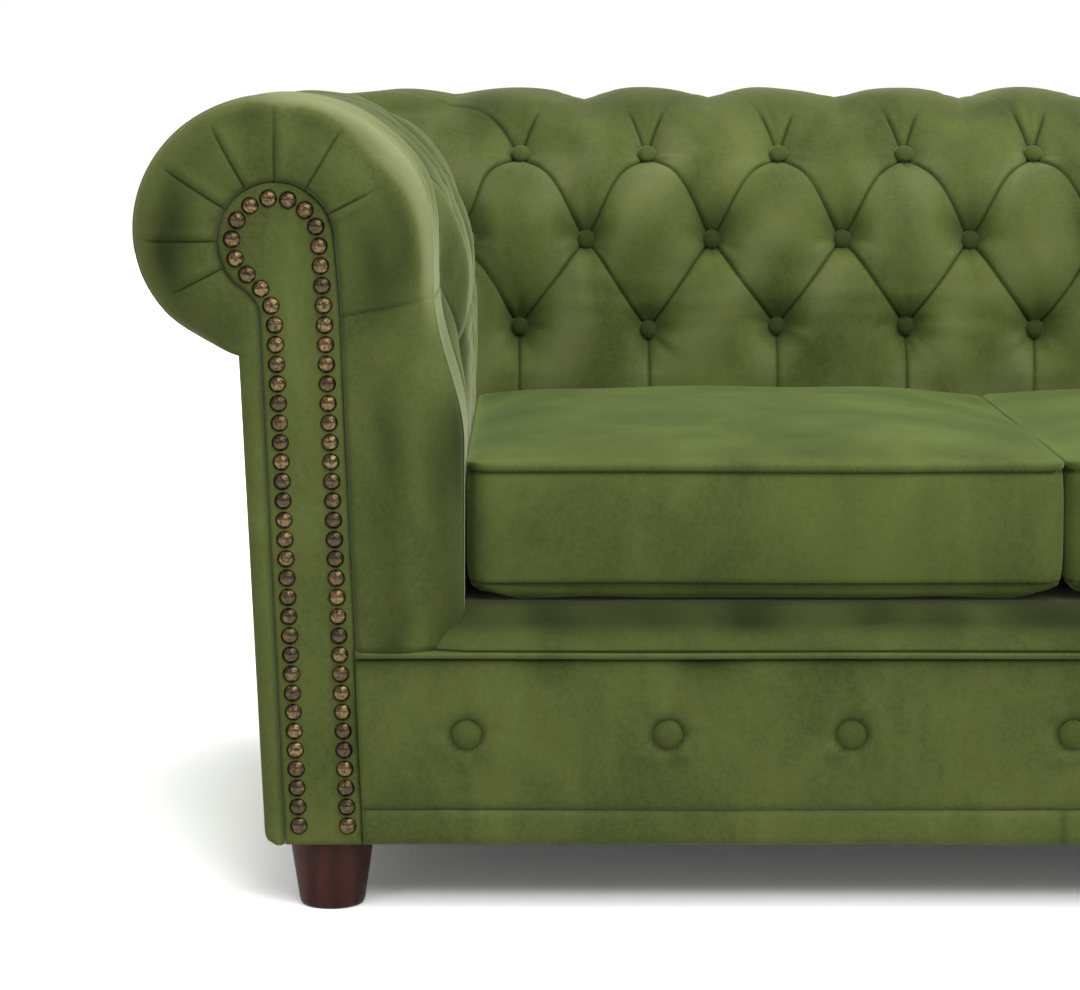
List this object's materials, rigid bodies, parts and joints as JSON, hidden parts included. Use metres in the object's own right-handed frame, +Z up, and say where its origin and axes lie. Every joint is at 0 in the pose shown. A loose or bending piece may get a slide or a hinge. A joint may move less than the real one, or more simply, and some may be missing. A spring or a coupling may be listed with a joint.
{
  "type": "chesterfield sofa",
  "caption": "Three-seat chesterfield sofa in moss green velvet: rolled arms, deep-buttoned back, nailed scroll facings, loose seat cushions, dark tapered legs",
  "frame": {"origin": "on the floor, under the middle of the sofa's outline", "axes": "+X to the sitter's left along the length (viewer's right), +Y to the back, +Z up"},
  "size_m": [2.16, 0.9, 0.7187],
  "materials": {
    "velvet": "matte",
    "lining": "matte",
    "frame_wood": "matte",
    "plywood": "matte",
    "leg_wood": "satin",
    "nail_brass": "satin",
    "spring_steel": "satin",
    "bolt_steel": "satin"
  },
  "bodies": {
    "root": {"front_rail": "frame_wood", "rear_rail": "frame_wood", "seat_rear_rail": "frame_wood", "left_side_rail": "frame_wood", "right_side_rail": "frame_wood", "left_cross_rail": "frame_wood", "right_cross_rail": "frame_wood", "left_back_post": "frame_wood", "right_back_post": "frame_wood", "back_top_board": "frame_wood", "left_arm_top_board": "frame_wood", "right_arm_top_board": "frame_wood", "back_inner_board": "plywood", "left_arm_inner_board": "plywood", "right_arm_inner_board": "plywood", "left_arm_front_board": "plywood", "right_arm_front_board": "plywood", "seat_spring_1": "spring_steel", "seat_spring_2": "spring_steel", "seat_spring_3": "spring_steel", "seat_spring_4": "spring_steel", "seat_spring_5": "spring_steel", "seat_spring_6": "spring_steel", "left_arm_pad": "velvet", "right_arm_pad": "velvet", "back_pad": "velvet", "left_arm_face": "velvet", "right_arm_face": "velvet", "left_arm_facing": "velvet", "right_arm_facing": "velvet", "left_arm_nail_trim": "nail_brass", "right_arm_nail_trim": "nail_brass", "left_outer_arm_cover": "velvet", "right_outer_arm_cover": "velvet", "outside_back_cover": "velvet", "seat_deck": "velvet", "front_border": "velvet", "border_button_1": "velvet", "border_button_2": "velvet", "border_button_3": "velvet", "border_button_4": "velvet", "border_button_5": "velvet", "border_button_6": "velvet", "border_button_7": "velvet", "border_button_8": "velvet", "border_button_9": "velvet", "border_button_10": "velvet", "base_band": "velvet", "dust_cover": "lining", "left_front_leg": "leg_wood", "right_front_leg": "leg_wood", "left_rear_leg": "leg_wood", "right_rear_leg": "leg_wood", "left_front_leg_bolt": "bolt_steel", "right_front_leg_bolt": "bolt_steel", "left_rear_leg_bolt": "bolt_steel", "right_rear_leg_bolt": "bolt_steel"},
    "left_cushion": {"left_seat_cushion": "velvet"},
    "centre_cushion": {"centre_seat_cushion": "velvet"},
    "right_cushion": {"right_seat_cushion": "velvet"}
  },
  "joints": [
    {"name": "left_cushion_lift", "type": "slide", "parent": "root", "child": "left_cushion", "axis": [0, 0, 1], "range_m": [0, 0.3]},
    {"name": "centre_cushion_lift", "type": "slide", "parent": "root", "child": "centre_cushion", "axis": [0, 0, 1], "range_m": [0, 0.3]},
    {"name": "right_cushion_lift", "type": "slide", "parent": "root", "child": "right_cushion", "axis": [0, 0, 1], "range_m": [0, 0.3]}
  ]
}
